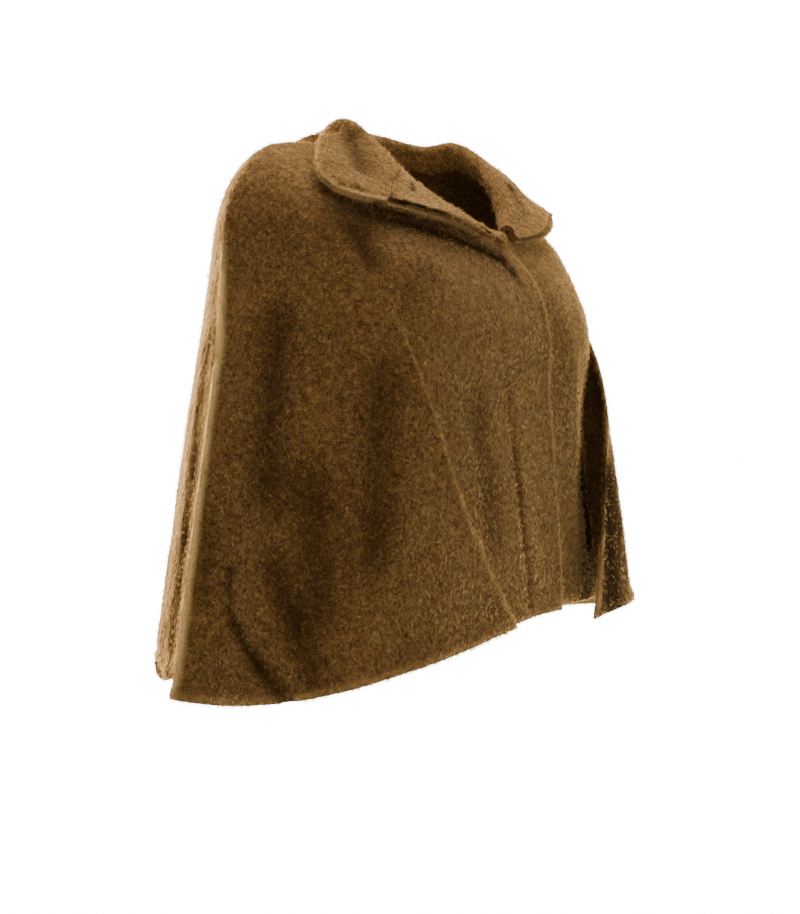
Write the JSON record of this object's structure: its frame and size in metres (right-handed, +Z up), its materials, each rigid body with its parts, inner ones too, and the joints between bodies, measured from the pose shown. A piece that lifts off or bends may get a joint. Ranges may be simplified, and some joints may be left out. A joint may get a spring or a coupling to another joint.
{
  "type": "knit poncho",
  "caption": "Short brushed-knit poncho cape, worn pose: wings over the arms, fronts lapped right over left, turned-down collar running into turned-out lapels.",
  "frame": {"origin": "middle of the neck base at the height of the shoulder line, where a wearer's shoulders hold the garment", "axes": "+Z up, +X towards the wearer's left, -Y towards the wearer's front"},
  "size_m": [0.6818, 0.329, 0.5375],
  "materials": {
    "knit": "brushed curly knit in camel brown, matt with a soft pale nap"
  },
  "bodies": {
    "root": {"back": "knit", "right_wing": "knit", "left_wing": "knit", "right_front": "knit", "left_front": "knit", "right_facing": "knit", "left_facing": "knit", "collar": "knit"}
  },
  "joints": []
}
